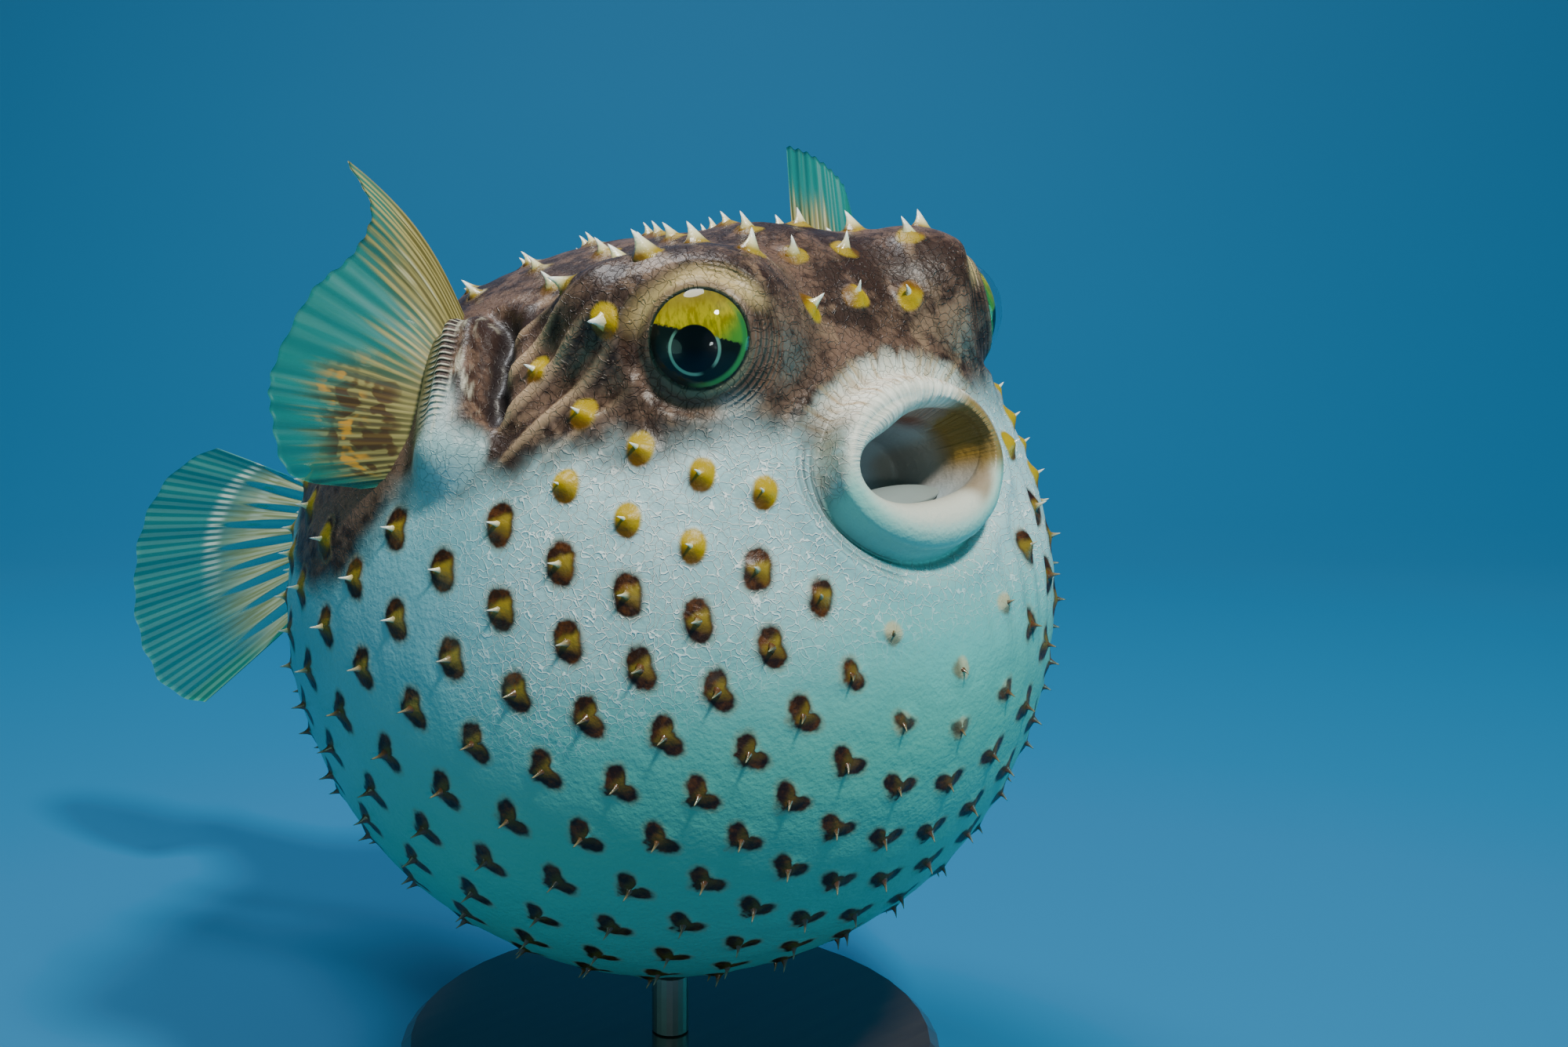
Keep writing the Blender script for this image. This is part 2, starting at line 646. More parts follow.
def store_places(skin, points, ends, pale):
    """Keeps where each point lies by mouth, eyes and fins, before any relief, for the material to read."""
    whole = np.concatenate((points, ends))
    store(skin, "fish", whole)
    store(skin, "zone", zone_values(whole))

    turn, outside = round_mouth(points)
    _across, _up, out = mouth_place(points)
    beside, turn = outside - lip_radius(turn), np.abs(turn)
    row_of = np.repeat(np.arange(len(points) // COLUMNS), COLUMNS)
    lip_edge = beside + 0.030 - 0.035 * smooth(1.4, 2.2, turn)
    is_lip = (1 - smooth(0, 0.022, lip_edge)) * (row_of >= LIPS_AT - 4)
    inside = smooth(LIPS_AT + 7, LIPS_AT - 5, row_of)
    to_eye = norm(on_side(points, 1) - EYE, axis=1)
    ahead = 0.8 * (EYE[1] - points[:, 1]) - 0.6 * (np.abs(points[:, 0]) - EYE[0])
    store_with_ends(skin, "mouth", (is_lip, inside, turn), (0, 1, 0), (0, 0, 0))
    store_with_ends(skin, "eye", (to_eye, beside, out), (9, 9, 9), (9, 9, 9))
    store_with_ends(skin, "relief", (pale, gill_slit(points), ahead), (0, 0, 0), (0, 0, 0))
    store_with_ends(skin, "foot", fin_foot(points), (0, 0, 9), (0, 0, 9))


def store_with_ends(skin, name, columns, throat_end, tail_end):
    store(skin, name, np.concatenate((np.stack(columns, axis=1), (throat_end, tail_end))))


def make_skin(spines):
    """One mesh from the throat's end over lips, face and body to the tail's end.

    Returns it with its points before any relief, and how far down the unwrap each of its rows lies.
    """
    turns = column_turns()
    grid = np.concatenate((throat_rows(turns), lip_rows(turns), body_rows(turns)))
    rows, points = len(grid), grid.reshape(-1, 3)
    outer = slice(FRONT_AT * COLUMNS, None)
    points[outer] = settle(points[outer], skin_field, 3)
    outward = np.zeros_like(points)
    outward[outer], _steepness = slope_of(skin_field, points[outer])

    local, style = by_nearest_spine(points, spines)
    folds, pale = fold_heights(points)
    lift = folds + spine_relief(local, style, np.clip(points[:, 2], 0, 1))
    lift = lift * np.repeat(smooth(FRONT_AT, BODY_AT + 6, np.arange(rows)), COLUMNS)
    shaped = with_lids(points + outward * lift[:, None])

    ends = np.array((MOUTH - THROAT_DEPTH * MOUTH_OUT, shaped[-COLUMNS:].mean(axis=0)))
    count = len(points)
    caps = fan_faces(0, COLUMNS, count, flip=True) + fan_faces(count - COLUMNS, COLUMNS, count + 1)
    faces = grid_faces(rows, COLUMNS).tolist() + caps
    skin = add_mesh("skin", to_world(np.concatenate((shaped, ends))), faces)
    store_places(skin, points, ends, pale)
    store_with_ends(skin, "spot", local.T, (9, 9, 99), (9, 9, 99))
    store_with_ends(skin, "style", style.T, (0, 0, 0), (0, 0, 0))
    down = rows_down(shaped.reshape(grid.shape))
    lay_out_skin(skin, down)
    return skin, points, down


def rows_down(grid):
    """For each row how far down the unwrap it lies, by its distance along the skin, from 0 to 1."""
    steps = norm(np.diff(grid, axis=0), axis=2).mean(axis=1)
    down = np.concatenate(([0], np.cumsum(steps)))
    return 0.01 + 0.98 * down / down[-1]


def corners_uv(*corners):
    """The unwrap of many like faces, from u and v of each of their corners."""
    return np.stack([np.stack(np.broadcast_arrays(u, v), axis=-1) for u, v in corners], axis=1).reshape(-1, 2)


def lay_out_skin(skin, down):
    """Unwraps the skin as one sheet, cut along the belly, with its two end caps along its edges."""
    steps = len(down) - 1
    left = np.tile(np.arange(COLUMNS) / COLUMNS, steps)
    right = np.tile(np.arange(1, COLUMNS + 1) / COLUMNS, steps)
    high, low = np.repeat(down[:-1], COLUMNS), np.repeat(down[1:], COLUMNS)
    before, middle, after = ((np.arange(COLUMNS) + step) / COLUMNS for step in (0, 0.5, 1))
    set_uv(skin, np.concatenate((
        corners_uv((left, high), (right, high), (right, low), (left, low)),
        corners_uv((middle, 0.0), (after, 0.01), (before, 0.01)),
        corners_uv((middle, 1.0), (before, 0.99), (after, 0.99)),
    )))


# ---------------- spines

def thorn_points(spines):
    """Each thorn's points from foot to tip: flared into three roots, then leaning back to a fine tip."""
    roots, outward, tailward, sideways = spines
    lean = math.cos(SPINE_LEAN) * outward + math.sin(SPINE_LEAN) * tailward
    length = spine_length(roots)[:, None]
    girth = 0.75 + 0.60 * smooth(0.1, 0.9, roots[:, 2:])
    stout = on_brow(roots)[:, None]
    around = np.linspace(0, math.tau, THORN_SIDES, endpoint=False)
    points = []
    for rise in THORN_RINGS:
        left = 1 - max(rise, 0)
        radius = MM * (0.10 + (0.60 + 1.1 * stout) * left + 1.10 * left ** 4) * girth
        radius = radius * (1 + 0.14 * left ** 3 * np.cos(3 * (around - math.pi)))
        bend = 0.10 * math.sin(math.pi * max(rise, 0))
        middle = roots + (lean * rise - (lean - outward) * bend) * length
        points.append(
            middle[:, None] + 0.8 * (radius * np.cos(around))[..., None] * tailward[:, None]
            + (radius * np.sin(around))[..., None] * sideways[:, None]
        )
    points.append((roots + lean * length)[:, None])
    return np.concatenate(points, axis=1)


def thorn_unwrap():
    """How high up a thorn each of its points lies, and its place in the thorn's round patch of the unwrap."""
    around = np.linspace(0, math.tau, THORN_SIDES, endpoint=False)
    rises = np.append(np.repeat(THORN_RINGS, THORN_SIDES), 1)
    turns = np.append(np.tile(around, len(THORN_RINGS)), 0)
    out = THORN_PATCH / 2 * (1 - np.maximum(rises, 0))
    return rises, out[:, None] * np.stack((np.sin(turns), np.cos(turns)), axis=1)


def make_spines(spines, patch_middles):
    """All the thorns as one mesh, with their patches at patch_middles in the unwrap."""
    roots, _outward, tailward, _sideways = spines
    points = thorn_points(spines)
    count, each = points.shape[:2]
    tube = grid_faces(len(THORN_RINGS), THORN_SIDES)
    cap = np.array(fan_faces(each - 1 - THORN_SIDES, THORN_SIDES, each - 1))
    foot = np.arange(THORN_SIDES)[::-1]
    faces = []
    for start in range(0, count * each, each):
        faces += (tube + start).tolist() + (cap + start).tolist() + [(foot + start).tolist()]
    thorns = add_mesh("spines", to_world(points.reshape(-1, 3)), faces)

    rises, patch = thorn_unwrap()
    golden = np.repeat(spine_styles(roots)[:, 0], each)
    high = np.repeat(smooth(-0.15, 0.25, roots[:, 2]), each)
    store(thorns, "thorn", np.stack((np.tile(rises, count), golden, high), axis=1))
    store(thorns, "fish", points)
    offset = (points - roots[:, None]) / MM
    down, back = ((offset * way[:, None]).sum(axis=2) for way in (downward_sides(spines), tailward))
    store(thorns, "spot", np.stack((down, back, norm(offset, axis=2)), axis=2))
    set_vertex_uv(thorns, (patch_middles[:, None] + patch).reshape(-1, 2))
    return thorns


# ---------------- eyes and tongue

def ball_mesh(name, rows, columns, shape):
    """A closed ball whose points, on the unit sphere about +Z, are moved by shape."""
    polar = np.linspace(0, math.pi, rows + 2)[1:-1]
    turn = np.linspace(0, math.tau, columns, endpoint=False)
    polar, turn = np.meshgrid(polar, turn, indexing="ij")
    sphere = np.stack((np.sin(polar) * np.cos(turn), np.sin(polar) * np.sin(turn), np.cos(polar)), axis=-1)
    sphere = np.concatenate((sphere.reshape(-1, 3), ((0, 0, 1), (0, 0, -1))))
    top, bottom = rows * columns, rows * columns + 1
    faces = grid_faces(rows, columns)[:, ::-1].tolist()
    faces += fan_faces(0, columns, top) + fan_faces(top - columns, columns, bottom, flip=True)
    return add_mesh(name, to_world(shape(sphere)), faces), sphere


def make_eye(side, name):
    """An eyeball, which knows where it lies round the line of sight, and the clear cornea over it."""
    axis = EYE_AXIS * (side, 1, 1)
    forward = unit(np.cross(axis, (0, 0, side)))
    upward = unit(np.cross(forward, axis) * side)

    def ball(kind, rows, columns, radius, bulge):
        middle = EYE * (side, 1, 1) + axis * (bulge - radius)
        turned = radius * np.array((forward, upward, axis))
        return ball_mesh(kind + name, rows, columns, lambda points: middle + points @ turned)

    eyeball, sphere = ball("eyeball_", 48, 72, EYE_RADIUS, EYE_BULGE)
    store(eyeball, "gaze", sphere * EYE_RADIUS / EYE_OPENING)
    return eyeball, ball("cornea_", 40, 60, CORNEA_RADIUS, CORNEA_BULGE)[0]


def make_tongue():
    """The pale flat plate on the mouth's floor, drooping in front."""
    def shape(sphere):
        x, y, z = sphere.T
        flat = np.where(z > 0, np.abs(z) ** 1.6 * 0.8, z) - 0.7 * np.maximum(0, -y) ** 2
        return TONGUE_PLACE + np.stack((x, y, flat), axis=1) * TONGUE_RADII

    return ball_mesh("tongue_plate", 24, 40, shape)[0]


# ---------------- fins

def fin_sheet(roots, tips, look, lead):
    """A fin's middle sheet over a grid from roots to tips, with its outward direction and the rays' phase."""
    t = np.linspace(0, 1, look["rays"] * 8 + 1)
    t_grid, s_grid = np.meshgrid(t, np.linspace(0, 1, look["steps"]), indexing="ij")
    phase = np.cos(math.tau * (t * look["rays"] - 0.5))[:, None]
    root, tip = roots(t), tips(t)
    tip = root + (tip - root) * (1 - look["edge"] * (1 - phase) / 2)
    across = unit(np.gradient(root, axis=0) + np.gradient(tip, axis=0))
    outward = unit(np.cross(across, unit(tip - root)))[:, None]
    bowed = np.sin(math.pi * s_grid)
    middle = root[:, None] + (tip - root)[:, None] * s_grid[..., None]
    middle = middle + (bowed * (1 - t_grid) ** 3)[..., None] * lead
    pleat = look["pleat"] * phase * np.minimum(1, 3 * s_grid)
    return middle + outward * (pleat + look["bow"] * bowed)[..., None], outward, phase, t_grid, s_grid


def fin_mesh(name, roots, tips, look, lead=(0, 0, 0)):
    """A fin as a thin closed solid: a membrane between raised rays, over a grid from roots to tips.

    look gives rays, steps along them, ray_height and membrane in millimetres, how far the membrane is pleated
    and bows out of its plane, and how far its edge is scalloped. lead is how far the first rays bow.
    """
    middle, outward, phase, t, s = fin_sheet(roots, tips, look, lead)
    fine = np.cos(4 * math.tau * t * look["rays"])
    fine_share = smooth(0.25, 0.7, s)
    ridge = np.maximum(0, phase) ** 1.5 * (1 - fine_share) + 0.5 * (0.5 + 0.5 * fine) * fine_share
    half = MM * 0.5 * (look["membrane"] + look["ray_height"] * ridge * (1 - 0.75 * s))
    half = (half * (1 - 0.5 * smooth(0.9, 1.0, s)))[..., None]

    columns, steps = t.shape
    count = columns * steps
    faces = grid_faces(columns, steps, closed=False)
    index = np.arange(count).reshape(columns, steps)
    rim = np.concatenate((index[:, 0], index[-1, 1:], index[-2::-1, -1], index[0, -2:0:-1]))
    beside = np.roll(rim, -1)
    edge_faces = np.stack((rim, beside, beside + count, rim + count), axis=1)
    points = np.concatenate((middle + outward * half, middle - outward * half)).reshape(-1, 3)
    faces = faces[:, ::-1].tolist() + (faces + count).tolist() + edge_faces.tolist()
    fin = add_mesh(name, to_world(points), faces)
    place = np.stack((t, s, np.broadcast_to(phase, t.shape)), axis=-1).reshape(-1, 3)
    store(fin, "fin", np.concatenate((place, place)))
    uv = place[:, :2] * (1, 0.48)
    set_vertex_uv(fin, np.concatenate((uv, uv + (0, 0.52))))
    return fin


def pectoral_root(t):
    """Points along the root of the right pectoral fin, a little under the skin."""
    bulge = 0.04 * np.sin(math.pi * t)[:, None]
    line = PECTORAL_TOP + (PECTORAL_LOW - PECTORAL_TOP) * t[:, None]
    return (line + unit((-0.8, -0.2, 0.5)) * bulge) * 0.95


def caudal_root(t):
    origin = TAIL_END + (0, -0.06, 0)
    return origin + np.outer(0.26 * (0.5 - t) * (1 - 0.2 * np.sin(math.pi * t)), (0, 0, 1))


def caudal_tip(t):
    along = unit((-math.sin(TAIL_SWEEP), math.cos(TAIL_SWEEP), -math.tan(TAIL_DROOP)))
    angle = np.radians(34 - 55 * t)[:, None]
    length = through(np.array(CAUDAL_LENGTHS)[:, None], t)
    return caudal_root(t) + length * (along * np.cos(angle) + np.array((0, 0, 1)) * np.sin(angle))


def back_fin(up, start, end, length):
    """Root and tip of the dorsal or anal fin, which lie back over the tail's root."""
    start, end = np.asarray(start), np.asarray(end)

    def root(t):
        return start + (end - start) * t[:, None]

    def tip(t):
        angle = np.radians(70 - 42 * t)
        reach = length * (0.72 + 0.28 * np.sin(math.pi * (0.15 + 0.7 * t)))
        return root(t) + reach[:, None] * np.stack((0 * t, np.cos(angle), up * np.sin(angle)), axis=1)

    return root, tip


def pectoral_fin(side, edge):
    """Root and tip of a pectoral fin: side is -1 for the right one, 1 for the left."""
    return lambda t: pectoral_root(t) * (-side, 1, 1), lambda t: through(edge, t)


def make_fins():
    """Each fin's mesh by the name of the solid it stands for."""
    right = pectoral_fin(-1, RIGHT_PECTORAL_EDGE)
    left = pectoral_fin(1, LEFT_PECTORAL_EDGE)
    dorsal = back_fin(1, (0, 0.98, 0.52), (0, 1.26, 0.36), 0.32)
    anal = back_fin(-1, (0, 1.08, 0.02), (0, 1.34, 0.15), 0.29)
    return {
        "pectoral_fin_right": fin_mesh("pectoral_right", *right, PECTORAL_LOOK, BLADE_BOW),
        "pectoral_fin_left": fin_mesh("pectoral_left", *left, PECTORAL_LOOK),
        "caudal_fin": fin_mesh("caudal", caudal_root, caudal_tip, CAUDAL_LOOK),
        "dorsal_fin": fin_mesh("dorsal", *dorsal, BACK_LOOK),
        "anal_fin": fin_mesh("anal", *anal, BACK_LOOK),
    }


# ---------------- materials written as sums

def arithmetic(operation, swapped=False):
    """A method that makes the Math node for one sign between a wire and a number or another wire."""
    def method(self, other):
        pair = (other, self) if swapped else (self, other)
        return self.finish.math(operation, *pair)

    return method


class Wire:
    """One output of a node; arithmetic on wires makes the Math nodes for it."""

    def __init__(self, finish, socket):
        self.finish, self.socket = finish, socket

    __add__ = __radd__ = arithmetic("ADD")
    __sub__, __rsub__ = arithmetic("SUBTRACT"), arithmetic("SUBTRACT", swapped=True)
    __mul__ = __rmul__ = arithmetic("MULTIPLY")
    __truediv__ = arithmetic("DIVIDE")


class Finish:
    """A Principled material whose colour and relief are worked out by nodes."""

    def __init__(self, name, roughness, **constants):
        self.material = bpy.data.materials.new(name)
        self.material.use_nodes = True
        self.nodes = self.material.node_tree.nodes
        self.shader = self.nodes["Principled BSDF"]
        self.shader.inputs["Roughness"].default_value = roughness
        for socket, value in constants.items():
            self.shader.inputs[socket.replace("_", " ")].default_value = value

    def plug(self, value, socket):
        if isinstance(value, Wire):
            self.material.node_tree.links.new(value.socket, socket)
        elif isinstance(value, tuple) and len(value) == 3 and len(socket.default_value) == 4:
            socket.default_value = (*value, 1)
        else:
            socket.default_value = value

    def put(self, socket, value):
        self.plug(value, self.shader.inputs[socket])

    def node(self, kind, output, inputs, **settings):
        """A new node with its settings and inputs, as the wire from one of its outputs."""
        node = self.nodes.new("ShaderNode" + kind)
        for name, value in settings.items():
            setattr(node, name, value)
        for socket, value in inputs.items():
            self.plug(value, node.inputs[socket])
        return Wire(self, node.outputs[output])

    def math(self, operation, *values):
        return self.node("Math", 0, dict(enumerate(values)), operation=operation)

    def sqrt(self, value):
        return self.math("SQRT", value)

    def magnitude(self, value):
        """value without its sign."""
        return self.math("ABSOLUTE", value)

    def most(self, first, second):
        return self.math("MAXIMUM", first, second)

    def stored(self, name):
        """The vector stored on the mesh under name."""
        return self.node("Attribute", "Vector", {}, attribute_name=name)

    def read(self, name):
        """The three numbers of the vector stored under name."""
        parts = self.node("SeparateXYZ", 0, {0: self.stored(name)})
        return [Wire(self, socket) for socket in parts.socket.node.outputs]

    def stretched(self, vector, scale):
        return self.node("VectorMath", 0, {0: vector, 1: scale}, operation="MULTIPLY")

    def combine(self, x, y, z):
        return self.node("CombineXYZ", 0, {0: x, 1: y, 2: z})

    def noise(self, vector, scale, detail=3, roughness=0.55):
        inputs = {"Vector": vector, "Scale": scale, "Detail": detail, "Roughness": roughness}
        return self.node("TexNoise", "Fac", inputs)

    def cracks(self, vector, scale):
        """How far each point is from the nearest line of a net of cells."""
        inputs = {"Vector": vector, "Scale": scale}
        return self.node("TexVoronoi", "Distance", inputs, feature="DISTANCE_TO_EDGE")

    def warp(self, vector, scale, amount):
        """vector pushed about by noise."""
        noise = self.node("TexNoise", "Color", {"Vector": vector, "Scale": scale})
        return self.node("VectorMath", 0, {0: noise, 1: (amount,) * 3, 2: vector}, operation="MULTIPLY_ADD")

    def rise(self, value, low, high):
        """0 where value is low, 1 where it is high, with a soft change between; low may be above high."""
        start, end = (1.0, 0.0) if low > high else (0.0, 1.0)
        low, high = min(low, high), max(low, high)
        inputs = {"Value": value, "From Min": low, "From Max": high, "To Min": start, "To Max": end}
        return self.node("MapRange", "Result", inputs, interpolation_type="SMOOTHSTEP")

    def band(self, value, low, high, falls_from, falls_to):
        """1 where value is between high and falls_from, 0 below low and above falls_to."""
        return self.rise(value, low, high) * self.rise(value, falls_to, falls_from)

    def mix(self, share, first, second):
        """The colour that goes from first to second as share goes from 0 to 1."""
        return self.node("Mix", 2, {0: share, 6: first, 7: second}, data_type="RGBA")

    def paint(self, colour, *coats):
        """colour with coats laid over it in turn, each a share and a colour."""
        for share, over in coats:
            colour = self.mix(share, colour, over)
        return colour

    def relief(self, height, distance):
        """Raises the surface by height times distance, in metres, in the shading alone."""
        self.put("Normal", self.node("Bump", "Normal", {"Distance": distance, "Height": height}))


def wear(obj, finish):
    obj.data.materials.clear()
    obj.data.materials.append(finish.material)


# Colours of the skin, the spots and spines, the fins, the mouth, the eyes and the stand
BACK_DARK, BACK_MID, BACK_PALE = (0.030, 0.014, 0.010), (0.125, 0.070, 0.048), (0.38, 0.245, 0.150)
BELLY_WHITE, BELLY_SHADE = (0.46, 0.63, 0.66), (0.28, 0.48, 0.51)
BELLY_FLANK, BELLY_LOW = (0.10, 0.36, 0.43), (0.09, 0.40, 0.29)
BELLY_LINE = (0.88, 0.92, 0.90)
BROW_CREAM = (0.52, 0.37, 0.16)
LOBE_CREAM, LOBE_PALE, LOBE_OLIVE = (0.62, 0.57, 0.44), (0.38, 0.46, 0.46), (0.14, 0.12, 0.05)
SLIT_DARK = (0.018, 0.012, 0.012)
SPOT_DARK, SPOT_EDGE, SPOT_FRINGE = (0.022, 0.005, 0.001), (0.095, 0.026, 0.004), (0.30, 0.20, 0.09)
BUD_TAN, BUD_DEEP = (0.50, 0.42, 0.24), (0.17, 0.11, 0.045)
WEDGE_GOLD, WEDGE_DEEP = (0.25, 0.165, 0.012), (0.15, 0.080, 0.008)
GOLD, GOLD_DEEP = (0.39, 0.255, 0.0), (0.12, 0.05, 0.0)
THORN_OLIVE, THORN_TAN = (0.10, 0.055, 0.018), (0.24, 0.19, 0.09)
THORN_CREAM, THORN_WHITE = (0.72, 0.64, 0.36), (0.84, 0.86, 0.80)
MEMBRANE, MEMBRANE_PALE = (0.000, 0.20, 0.16), (0.16, 0.42, 0.32)
PECTORAL_OLIVE, PECTORAL_CREAM = (0.10, 0.085, 0.022), (0.33, 0.28, 0.10)
PECTORAL_SHEEN = (0.70, 0.68, 0.46)
BLOTCH_BROWN, BLOTCH_ORANGE = (0.060, 0.020, 0.006), (0.62, 0.27, 0.010)
CAUDAL_OLIVE, CAUDAL_CREAM = (0.32, 0.32, 0.14), (0.66, 0.66, 0.44)
DASH_PALE = (0.72, 0.80, 0.68)
MUZZLE_TAN, POUCH_BROWN = (0.46, 0.32, 0.19), (0.20, 0.17, 0.10)
LIP_CREAM, LIP_WHITE, LIP_LOW = (0.60, 0.59, 0.51), (0.80, 0.77, 0.68), (0.18, 0.53, 0.47)
CREASE_DARK = (0.045, 0.075, 0.075)
CORNER_BROWN = (0.22, 0.13, 0.022)
MOUTH_GREY, MOUTH_DEEP = (0.42, 0.50, 0.54), (0.30, 0.37, 0.42)
MOUTH_PINK, MOUTH_RED = (0.25, 0.17, 0.10), (0.22, 0.050, 0.025)
TONGUE_PALE, TONGUE_GREY = (0.30, 0.35, 0.33), (0.21, 0.25, 0.25)
EYE_RING, RIM_PALE = (0.020, 0.030, 0.018), (0.15, 0.19, 0.12)
IRIS_AMBER, IRIS_YELLOW, IRIS_BROWN = (0.50, 0.32, 0.0), (0.98, 0.68, 0.0), (0.26, 0.17, 0.02)
IRIS_GREEN, IRIS_RIM, IRIS_DARK = (0.12, 0.40, 0.04), (0.05, 0.30, 0.07), (0.005, 0.008, 0.007)
PUPIL_RING, PUPIL = (0.22, 0.45, 0.32), (0.001, 0.001, 0.004)
CORNEA_TINT, CORNEA_CLEAR = (0.97, 0.99, 0.98), (1.0, 1.0, 1.0)
WOOD_LIGHT, WOOD_DARK = (0.050, 0.036, 0.026), (0.020, 0.014, 0.011)
STEEL_LIGHT, STEEL_DARK = (0.62, 0.62, 0.63), (0.48, 0.48, 0.49)


def gold_share(f, across, back):
    """How golden a dark spot is: a soft fan that widens from the thorn's tailward side towards the head."""
    ahead = 2.2 - back
    return f.rise(ahead * 0.52 + 0.6 - across, -0.8, 1.0) * f.rise(across + ahead * 0.36 + 0.5, -1.0, 0.9)


def spot_masks(f, fish):
    """Where spot, fringe, golden wedge, golden boss and pale bud lie round each spine's root."""
    golden, dark, lobed = f.read("style")
    across, back, away = f.read("spot")
    uneven = f.noise(fish, 40, 2) - 0.5
    off = away + uneven * 1.3
    toward_tail, toward_side = back / f.most(off, 0.3), across / f.most(off, 0.3)
    wide = toward_side * toward_side - toward_tail * toward_tail
    three = toward_tail * (4 * toward_tail * toward_tail - 3)
    reach = (3.7 - lobed * 0.5) * (1 + wide * (0.22 + lobed * 0.12) + three * lobed * 0.30)
    past = off - reach * (0.45 + dark * 0.55)
    shown = f.rise(dark, 0.08, 0.45)
    spot, fringe = f.rise(past, 0.6, -0.6) * shown, f.rise(past, 1.5, 0.2) * shown
    wedge = gold_share(f, across + uneven * 2.0, back) * f.rise(past, 0.0, -1.3)
    wedge = wedge * f.most(golden, dark * (1 - lobed * 0.75))
    boss_reach = 3.1 * (1 + wide * 0.16)
    boss = f.rise(away + uneven * 0.5 - boss_reach, 0.6, -0.5) * f.rise(golden, 0.12, 0.55)
    bud = f.rise(off, 3.0, 1.8) * f.rise(dark, 0.60, 0.25) * f.rise(golden, 0.5, 0.1)
    return spot, fringe, wedge, boss, bud


def spot_coats(f, masks, fine_mottle):
    """The coats of paint for the spots, buds, bosses and wedges."""
    spot, fringe, wedge, boss, bud = masks
    golden = f.read("style")[0]
    across, back, _away = f.read("spot")
    dark = f.mix(f.rise(fine_mottle, 0.44, 0.68), SPOT_DARK, SPOT_EDGE)
    gold = f.mix(f.rise(across * 0.8 + back * 0.3 + (fine_mottle - 0.5) * 1.5, 2.1, -0.6), GOLD_DEEP, GOLD)
    olive = f.mix(f.rise(across + back * 0.2, 1.7, -0.8), WEDGE_DEEP, WEDGE_GOLD)
    return (
        (bud * 0.8, f.mix(f.rise(across, 1.4, -0.6), BUD_DEEP, BUD_TAN)),
        (fringe * 0.35, SPOT_FRINGE), (spot, dark), (boss, gold), (wedge, f.mix(golden, olive, gold)),
    )


def back_colour(f, fish, mottle, fine_mottle, net):
    """The mottled brown of back and face, with pale tops on its folds."""
    tan = f.noise(f.warp(f.stretched(fish, (1.6, 0.8, 0.8)), 4, 0.35), 3.2, 4, 0.6)
    return f.paint(
        f.mix(f.rise(mottle + (fine_mottle - 0.5) * 0.5, 0.40, 0.60), BACK_DARK, BACK_MID),
        (f.rise(tan + (fine_mottle - 0.5) * 0.3, 0.56, 0.70) * 0.32, BACK_PALE),
        (net * 0.16, BACK_DARK),
        (f.rise(f.read("relief")[0], 0.15, 0.75) * 0.9, BACK_PALE),
    )


def belly_colour(f, fish, net):
    """White in front, blue-green on the flank and below, with a net of white lines in front."""
    _zone, low_side, netted = f.read("zone")
    return f.paint(
        f.mix(f.rise(f.noise(fish, 2.6, 3), 0.35, 0.70), BELLY_SHADE, BELLY_WHITE),
        ((1 - netted) * 0.72, BELLY_FLANK), (low_side * 0.85, BELLY_LOW), (net * netted * 0.85, BELLY_LINE),
    )


def foot_look(f, back):
    """How far each point is on a pectoral fin's foot, the foot's colour, and the scallops at its rear."""
    along, rearward, off = f.read("foot")
    on_foot = f.rise(off, 0.112, 0.090)
    streaks = f.noise(f.combine(rearward * 46, along * 7, off * 20), 1.0, 3)
    pale_part = f.rise(along + (streaks - 0.5) * 0.22, 0.13, 0.24) * f.rise(rearward, -0.065, -0.020)
    scallops = f.math("COSINE", along * (math.tau / 0.0185) + rearward * 34)
    scallops = scallops * f.band(rearward, -0.030, -0.008, 0.035, 0.062) * on_foot * f.rise(along, 0.30, 0.22)
    foot = f.paint(
        back, (pale_part * 0.9, LOBE_PALE), (f.rise(streaks, 0.50, 0.66) * 0.55, LOBE_CREAM),
        (f.rise(rearward, 0.000, 0.045) * 0.85, LOBE_OLIVE), (f.rise(along, 0.26, 0.36) * 0.8, BELLY_SHADE),
        (f.rise(scallops, 0.15, 0.9) * 0.75, LOBE_CREAM),
    )
    return on_foot, foot, scallops


def eye_look(f, mottle):
    """Fine creases round the front of each eye, and the coats of paint for them and the eye's rim."""
    to_eye, zone, ahead = f.read("eye")[0], f.read("zone")[0], f.read("relief")[2]
    creases = f.math("SINE", to_eye * (math.tau / 0.013)) * f.band(to_eye, 0.122, 0.134, 0.165, 0.20)
    creases = creases * f.rise(ahead, 0.01, 0.08) * f.rise(mottle, 0.35, 0.5)
    return creases, (
        (f.rise(creases, 0.0, -0.9) * 0.30, BACK_DARK),
        (f.rise(to_eye, 0.136, 0.122) * 0.7, f.mix(f.rise(zone, 0.6, 1.8), RIM_PALE, BACK_MID)),
        (f.rise(to_eye, 0.117, 0.112), EYE_RING),
    )


